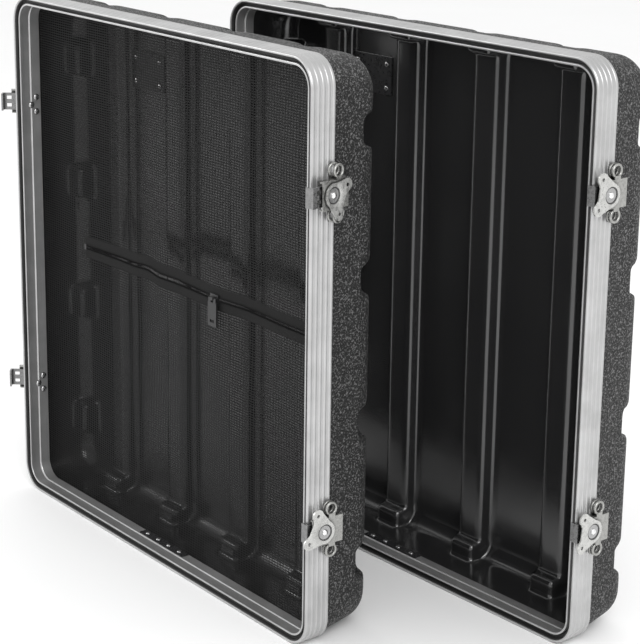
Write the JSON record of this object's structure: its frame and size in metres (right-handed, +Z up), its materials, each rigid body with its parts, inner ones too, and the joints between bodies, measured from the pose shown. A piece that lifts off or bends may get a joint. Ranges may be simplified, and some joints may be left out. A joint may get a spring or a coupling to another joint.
{
  "type": "equipment rack case",
  "caption": "Pair of rotomoulded rack case lids with ridged metal valance rims, rubber seals and butterfly twist latches; the front lid has a zipped mesh net pocket.",
  "frame": {"origin": "middle of the front lid's bottom ridge, on the floor, in the plane of its rim's inner lip", "axes": "+X across the front lid, +Y from its open face to its back, +Z up"},
  "size_m": [0.759, 0.3156, 0.6],
  "materials": {
    "rim": "satin anodised",
    "seal": "matt",
    "shell": "fine pebble grain outside, glossy inside",
    "badge": "brushed, blank",
    "dark_plate": "satin black",
    "rivet": "plain",
    "splice": "plain",
    "latch": "bright zinc plate",
    "wing": "bright nickel plate",
    "net": "open knitted mesh",
    "zip_tape": "coil zip on woven tape",
    "zip_metal": "satin black"
  },
  "bodies": {
    "front_lid": {"front_rim": "rim", "front_rim_seal": "seal", "front_shell": "shell", "front_badge_plate": "badge", "front_backing_plate": "dark_plate", "front_plate_rivets": "rivet", "front_splice_plate": "splice", "front_splice_rivets": "rivet", "front_hinge_pins": "latch", "front_latch_rivets": "rivet", "front_latch_right_upper_base": "latch", "front_latch_right_lower_base": "latch", "front_latch_left_upper_base": "latch", "front_latch_left_lower_base": "latch", "front_upper_net": "net", "front_lower_net": "net", "front_upper_zip_tape": "zip_tape", "front_lower_zip_tape": "zip_tape", "zip_stops": "zip_metal"},
    "rear_lid": {"rear_rim": "rim", "rear_rim_seal": "seal", "rear_shell": "shell", "rear_badge_plate": "badge", "rear_backing_plate": "dark_plate", "rear_plate_rivets": "rivet", "rear_splice_plate": "splice", "rear_splice_rivets": "rivet", "rear_hinge_pins": "latch", "rear_latch_rivets": "rivet", "rear_latch_right_upper_base": "latch", "rear_latch_right_lower_base": "latch", "rear_latch_left_upper_base": "latch", "rear_latch_left_lower_base": "latch"},
    "front_latch_right_upper_arm": {"front_latch_right_upper_arm": "latch"},
    "front_latch_right_upper_wing": {"front_latch_right_upper_wing": "wing"},
    "front_latch_right_upper_hook": {"front_latch_right_upper_hook": "latch"},
    "front_latch_right_lower_arm": {"front_latch_right_lower_arm": "latch"},
    "front_latch_right_lower_wing": {"front_latch_right_lower_wing": "wing"},
    "front_latch_right_lower_hook": {"front_latch_right_lower_hook": "latch"},
    "front_latch_left_upper_arm": {"front_latch_left_upper_arm": "latch"},
    "front_latch_left_upper_wing": {"front_latch_left_upper_wing": "wing"},
    "front_latch_left_upper_hook": {"front_latch_left_upper_hook": "latch"},
    "front_latch_left_lower_arm": {"front_latch_left_lower_arm": "latch"},
    "front_latch_left_lower_wing": {"front_latch_left_lower_wing": "wing"},
    "front_latch_left_lower_hook": {"front_latch_left_lower_hook": "latch"},
    "rear_latch_right_upper_arm": {"rear_latch_right_upper_arm": "latch"},
    "rear_latch_right_upper_wing": {"rear_latch_right_upper_wing": "wing"},
    "rear_latch_right_upper_hook": {"rear_latch_right_upper_hook": "latch"},
    "rear_latch_right_lower_arm": {"rear_latch_right_lower_arm": "latch"},
    "rear_latch_right_lower_wing": {"rear_latch_right_lower_wing": "wing"},
    "rear_latch_right_lower_hook": {"rear_latch_right_lower_hook": "latch"},
    "rear_latch_left_upper_arm": {"rear_latch_left_upper_arm": "latch"},
    "rear_latch_left_upper_wing": {"rear_latch_left_upper_wing": "wing"},
    "rear_latch_left_upper_hook": {"rear_latch_left_upper_hook": "latch"},
    "rear_latch_left_lower_arm": {"rear_latch_left_lower_arm": "latch"},
    "rear_latch_left_lower_wing": {"rear_latch_left_lower_wing": "wing"},
    "rear_latch_left_lower_hook": {"rear_latch_left_lower_hook": "latch"},
    "zip_slider": {"zip_slider": "zip_metal"},
    "zip_pull": {"zip_pull": "zip_metal"}
  },
  "joints": [
    {"name": "rear_lid_clear", "type": "slide", "parent": "front_lid", "child": "rear_lid", "axis": [0, 1, 0], "range_m": [0, 0.25]},
    {"name": "front_latch_right_upper_arm_swing", "type": "hinge", "parent": "front_lid", "child": "front_latch_right_upper_arm", "pos_m": [0.2838, 0.0345, 0.471], "axis": [0, 0, 1], "range_deg": [-12, 88]},
    {"name": "front_latch_right_upper_wing_turn", "type": "hinge", "parent": "front_latch_right_upper_arm", "child": "front_latch_right_upper_wing", "pos_m": [0.28397, 0.01256, 0.471], "axis": [0.9781, 0.2079, 0], "range_deg": [-2, 198]},
    {"name": "front_latch_right_upper_hook_slide", "type": "slide", "parent": "front_latch_right_upper_arm", "child": "front_latch_right_upper_hook", "axis": [0.2079, -0.9781, 0], "range_m": [-0.00693, 0.00007]},
    {"name": "front_latch_right_lower_arm_swing", "type": "hinge", "parent": "front_lid", "child": "front_latch_right_lower_arm", "pos_m": [0.2838, 0.0345, 0.129], "axis": [0, 0, 1], "range_deg": [0, 100]},
    {"name": "front_latch_right_lower_wing_turn", "type": "hinge", "parent": "front_latch_right_lower_arm", "child": "front_latch_right_lower_wing", "pos_m": [0.2794, 0.013, 0.129], "axis": [1, 0, 0], "range_deg": [-183, 17]},
    {"name": "front_latch_right_lower_hook_slide", "type": "slide", "parent": "front_latch_right_lower_arm", "child": "front_latch_right_lower_hook", "axis": [0, -1, 0], "range_m": [-0.0006, 0.00641]},
    {"name": "front_latch_left_upper_arm_swing", "type": "hinge", "parent": "front_lid", "child": "front_latch_left_upper_arm", "pos_m": [-0.2838, 0.0345, 0.471], "axis": [0, 0, -1], "range_deg": [-38, 62]},
    {"name": "front_latch_left_upper_wing_turn", "type": "hinge", "parent": "front_latch_left_upper_arm", "child": "front_latch_left_upper_wing", "pos_m": [-0.29357, 0.01485, 0.471], "axis": [-0.788, 0.6157, 0], "range_deg": [-13, 187]},
    {"name": "front_latch_left_upper_hook_slide", "type": "slide", "parent": "front_latch_left_upper_arm", "child": "front_latch_left_upper_hook", "axis": [-0.6157, -0.788, 0], "range_m": [-0.00655, 0.00046]},
    {"name": "front_latch_left_lower_arm_swing", "type": "hinge", "parent": "front_lid", "child": "front_latch_left_lower_arm", "pos_m": [-0.2838, 0.0345, 0.129], "axis": [0, 0, -1], "range_deg": [-38, 62]},
    {"name": "front_latch_left_lower_wing_turn", "type": "hinge", "parent": "front_latch_left_lower_arm", "child": "front_latch_left_lower_wing", "pos_m": [-0.29357, 0.01485, 0.129], "axis": [-0.788, 0.6157, 0], "range_deg": [-13, 187]},
    {"name": "front_latch_left_lower_hook_slide", "type": "slide", "parent": "front_latch_left_lower_arm", "child": "front_latch_left_lower_hook", "axis": [-0.6157, -0.788, 0], "range_m": [-0.00655, 0.00046]},
    {"name": "rear_latch_right_upper_arm_swing", "type": "hinge", "parent": "rear_lid", "child": "rear_latch_right_upper_arm", "pos_m": [0.43827, 0.25037, 0.471], "axis": [0, 0, 1], "range_deg": [0, 100]},
    {"name": "rear_latch_right_upper_wing_turn", "type": "hinge", "parent": "rear_latch_right_upper_arm", "child": "rear_latch_right_upper_wing", "pos_m": [0.43469, 0.22872, 0.471], "axis": [0.9993, 0.0384, 0], "range_deg": [-196, 4]},
    {"name": "rear_latch_right_upper_hook_slide", "type": "slide", "parent": "rear_latch_right_upper_arm", "child": "rear_latch_right_upper_hook", "axis": [0.0384, -0.9993, 0], "range_m": [-0.00014, 0.00686]},
    {"name": "rear_latch_right_lower_arm_swing", "type": "hinge", "parent": "rear_lid", "child": "rear_latch_right_lower_arm", "pos_m": [0.43827, 0.25037, 0.129], "axis": [0, 0, 1], "range_deg": [0, 100]},
    {"name": "rear_latch_right_lower_wing_turn", "type": "hinge", "parent": "rear_latch_right_lower_arm", "child": "rear_latch_right_lower_wing", "pos_m": [0.43469, 0.22872, 0.129], "axis": [0.9993, 0.0384, 0], "range_deg": [-200, 0]},
    {"name": "rear_latch_right_lower_hook_slide", "type": "slide", "parent": "rear_latch_right_lower_arm", "child": "rear_latch_right_lower_hook", "axis": [0.0384, -0.9993, 0], "range_m": [0, 0.007]},
    {"name": "rear_latch_left_upper_arm_swing", "type": "hinge", "parent": "rear_lid", "child": "rear_latch_left_upper_arm", "pos_m": [-0.12892, 0.22858, 0.471], "axis": [0, 0, -1], "range_deg": [0, 100]},
    {"name": "rear_latch_left_upper_wing_turn", "type": "hinge", "parent": "rear_latch_left_upper_arm", "child": "rear_latch_left_upper_wing", "pos_m": [-0.12369, 0.20726, 0.471], "axis": [-0.9993, -0.0384, 0], "range_deg": [-196, 4]},
    {"name": "rear_latch_left_upper_hook_slide", "type": "slide", "parent": "rear_latch_left_upper_arm", "child": "rear_latch_left_upper_hook", "axis": [0.0384, -0.9993, 0], "range_m": [-0.00014, 0.00686]},
    {"name": "rear_latch_left_lower_arm_swing", "type": "hinge", "parent": "rear_lid", "child": "rear_latch_left_lower_arm", "pos_m": [-0.12892, 0.22858, 0.129], "axis": [0, 0, -1], "range_deg": [0, 100]},
    {"name": "rear_latch_left_lower_wing_turn", "type": "hinge", "parent": "rear_latch_left_lower_arm", "child": "rear_latch_left_lower_wing", "pos_m": [-0.12369, 0.20726, 0.129], "axis": [-0.9993, -0.0384, 0], "range_deg": [-200, 0]},
    {"name": "rear_latch_left_lower_hook_slide", "type": "slide", "parent": "rear_latch_left_lower_arm", "child": "rear_latch_left_lower_hook", "axis": [0.0384, -0.9993, 0], "range_m": [0, 0.007]},
    {"name": "zip_run", "type": "slide", "parent": "front_lid", "child": "zip_slider", "axis": [1, 0, 0], "range_m": [-0.2485, 0.1725]},
    {"name": "pull_swing", "type": "hinge", "parent": "zip_slider", "child": "zip_pull", "pos_m": [0.084, 0.0219, 0.319], "axis": [1, 0, 0], "range_deg": [-175, 0]}
  ],
  "couplings": [
    {"joint": "front_latch_right_upper_hook_slide", "follows": "front_latch_right_upper_wing_turn", "m_per_rad": -0.0020053},
    {"joint": "front_latch_right_lower_hook_slide", "follows": "front_latch_right_lower_wing_turn", "m_per_rad": -0.0020053},
    {"joint": "front_latch_left_upper_hook_slide", "follows": "front_latch_left_upper_wing_turn", "m_per_rad": -0.0020053},
    {"joint": "front_latch_left_lower_hook_slide", "follows": "front_latch_left_lower_wing_turn", "m_per_rad": -0.0020053},
    {"joint": "rear_latch_right_upper_hook_slide", "follows": "rear_latch_right_upper_wing_turn", "m_per_rad": -0.0020053},
    {"joint": "rear_latch_right_lower_hook_slide", "follows": "rear_latch_right_lower_wing_turn", "m_per_rad": -0.0020053},
    {"joint": "rear_latch_left_upper_hook_slide", "follows": "rear_latch_left_upper_wing_turn", "m_per_rad": -0.0020053},
    {"joint": "rear_latch_left_lower_hook_slide", "follows": "rear_latch_left_lower_wing_turn", "m_per_rad": -0.0020053}
  ]
}
